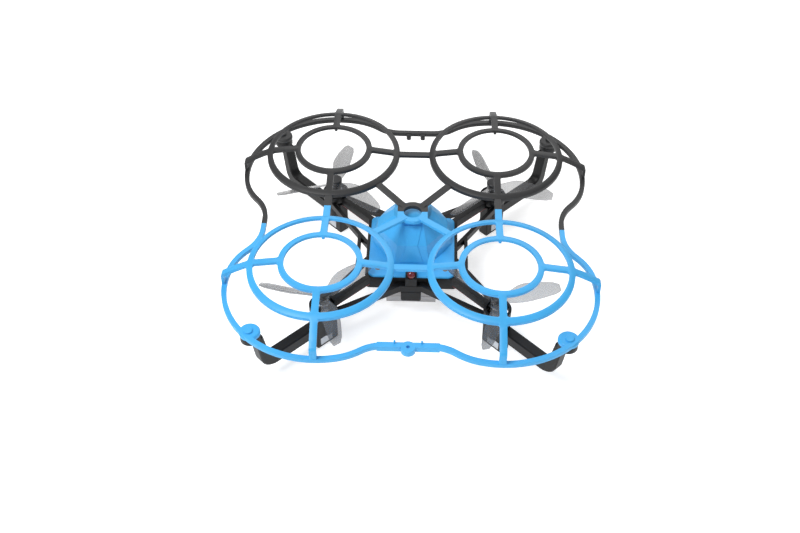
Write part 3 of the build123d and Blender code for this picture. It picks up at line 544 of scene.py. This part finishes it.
def propeller_mesh():
    """Three blades and the ring in one mesh, turned so that one blade lies along +X."""
    parts = []
    for k in range(BLADE_COUNT):
        blade = one_blade()
        blade.matrix_world = Matrix.Rotation(math.radians(360 // BLADE_COUNT * k), 4, "Z")
        parts.append(blade)
    parts.append(grip_ring())
    start()
    for part in parts:
        part.select_set(True)
    bpy.context.view_layer.objects.active = parts[0]
    bpy.ops.object.transform_apply(location=True, rotation=True, scale=True)
    bpy.ops.object.join()
    return bpy.context.active_object


def four_propellers():
    pattern = propeller_mesh()
    for corner, (sx, sy) in CORNERS.items():
        start()
        piece = pattern.copy()
        piece.data = pattern.data.copy()
        bpy.context.collection.objects.link(piece)
        piece.name = f"blades_{corner}"
        piece.data.name = piece.name
        piece.select_set(True)
        bpy.context.view_layer.objects.active = piece
        place = Matrix.Translation((sx * PITCH_HALF, sy * PITCH_HALF, BLADE_PLANE))
        piece.matrix_world = place @ Matrix.Rotation(math.radians(REST_ANGLE[corner]), 4, "Z")
        complete(piece, f"rotor_{corner}", f"propeller_{corner}")
    print("propeller", len(pattern.data.polygons), "faces, four copies")
    bpy.data.objects.remove(pattern)


four_propellers()

# %% [markdown]
# The battery is a moulded two-part case round its cell. The halves meet in a fine groove that runs
# round the case, and the front face is set back a little inside its rim. A cube is given the case's
# size, cut level with the groove, rounded along its long edges and inset at the front.

# %% Battery case
GROOVE_HALF = 0.15 * MM
GROOVE_DEPTH = 0.25 * MM
RIM = 0.9 * MM
SET_BACK = 0.25 * MM
CASE_EDGE = 0.35


def battery_case():
    low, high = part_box("battery_pack")
    middle, size = (low + high) / 2, high - low
    start()
    bpy.ops.mesh.primitive_cube_add(size=1.0, location=middle)
    case = edit_new("battery_case")
    bpy.ops.mesh.select_all(action="SELECT")
    bpy.ops.transform.resize(value=size)
    bake_place()
    for level in (middle.z - GROOVE_HALF, middle.z + GROOVE_HALF):
        bpy.ops.mesh.select_all(action="SELECT")
        bpy.ops.mesh.bisect(plane_co=(0, 0, level), plane_no=(0, 0, 1))
    pick(case, lambda co, face: abs(co.z - middle.z) < 0.05 * MM and abs(face.normal.z) < 0.5, "FACE")
    bpy.ops.mesh.extrude_region_shrink_fatten(TRANSFORM_OT_shrink_fatten={"value": -GROOVE_DEPTH})
    pick(case, lambda co, face: face.normal.y < -0.9 and co.y < low.y + 0.05 * MM, "FACE")
    bpy.ops.mesh.inset(thickness=RIM, use_individual=True)
    bpy.ops.transform.translate(value=(0, SET_BACK, 0))
    bpy.ops.object.mode_set(mode="OBJECT")
    bevel_modifier(case, CASE_EDGE, 3, 60)
    complete(case, "battery", "battery_pack")
    print("battery case", [round(v / MM, 1) for v in size], "mm")


battery_case()

# %% [markdown]
# The forward sensor looks out through a small dark red dome that sits on the slanted corner of its
# housing. A many-sided cylinder stands on that slant. Its outer face is inset five times: the first
# two insets sink it and raise it again, which leaves the fine groove of a bezel, and the other
# three raise it less and less, which makes the dome.

# %% Sensor dome
LENS_RADIUS = 1.95 * MM
LENS_DEPTH = 2.0 * MM
LENS_SLANT = math.radians(45)
# how far in and how far out each inset goes, in millimetres
DOME_STEPS = [(0.22, -0.12), (0.10, 0.12), (0.35, 0.28), (0.45, 0.16), (0.45, 0.05)]


def sensor_dome():
    low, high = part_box("sensor_lens")
    middle = (low + high) / 2
    start()
    bpy.ops.mesh.primitive_cylinder_add(vertices=48, radius=LENS_RADIUS, depth=LENS_DEPTH,
                                        end_fill_type="NGON", location=middle, rotation=(LENS_SLANT, 0, 0))
    dome = edit_new("sensor_dome")
    outward = Vector((0, -1, 1)).normalized()
    bake_place()
    pick(dome, lambda co, face: face.normal.dot(outward) > 0.9, "FACE")
    for inward, rise in DOME_STEPS:
        bpy.ops.mesh.inset(thickness=inward * MM)
        bpy.ops.transform.translate(value=outward * rise * MM)
    complete(dome, "frame", "sensor_lens", smooth=50)
    print("dome", len(dome.data.polygons), "faces")


sensor_dome()

# %% [markdown]
# The front of the canopy carries one raised panel that is narrowest at half height, so its edges
# make a V-shaped crease on each side. It is a thin skin on the measured dome: a grid whose three
# rows are set on the dome's front facets, at the base, at the waist and under the hub plate. Each
# point is set down a metre to one side, so that it can't be mistaken for a point that still waits,
# and at the end the whole panel is moved back. Solidify makes it stand a third of a millimetre
# proud and a bevel softens the step.

# %% Canopy panel
# height, front edge of the dome there and half width of the panel, from the base up, in millimetres
PANEL_ROWS = [(26.6, -13.30, 5.9), (35.6, -10.60, 2.9), (43.6, -4.25, 4.9)]
PANEL_RISE = 0.36 * MM
PANEL_EDGE = 0.18
ASIDE = Vector((1, 0, 0))


def canopy_panel():
    """A skin with two points per row, lifted off the dome."""
    start()
    bpy.ops.mesh.primitive_grid_add(x_subdivisions=1, y_subdivisions=2, size=2 * MM, location=(0, 0, 0))
    panel = edit_new("canopy_panel_front")
    for step, (height, front, half) in zip((-1, 0, 1), PANEL_ROWS):
        for side in (-1, 1):
            old = Vector((side * MM, step * MM, 0))
            new = Vector((side * half, front, height)) * MM
            pick(panel, lambda co, _: (co - old).length < 0.1 * MM)
            bpy.ops.transform.translate(value=new + ASIDE - old)
    bpy.ops.mesh.select_all(action="SELECT")
    bpy.ops.transform.translate(value=-ASIDE)
    bpy.ops.mesh.normals_make_consistent(inside=False)
    bpy.ops.object.mode_set(mode="OBJECT")
    wall = panel.modifiers.new("wall", "SOLIDIFY")
    wall.thickness = 2 * PANEL_RISE
    wall.offset = 0
    bevel_modifier(panel, PANEL_EDGE, 2, 25)
    for modifier in list(panel.modifiers):
        bpy.ops.object.modifier_apply(modifier=modifier.name)
    bpy.ops.object.mode_set(mode="EDIT")
    bpy.ops.mesh.select_all(action="SELECT")
    bpy.ops.mesh.normals_make_consistent(inside=False)
    bpy.ops.object.mode_set(mode="OBJECT")
    bpy.ops.object.transform_apply(location=True, rotation=True, scale=True)
    bpy.ops.object.shade_smooth_by_angle(angle=math.radians(20))
    panel.data.materials.append(PAINTS["sky_blue_plastic"])
    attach(panel, "frame")
    print("front panel", len(panel.data.polygons), "faces")


canopy_panel()
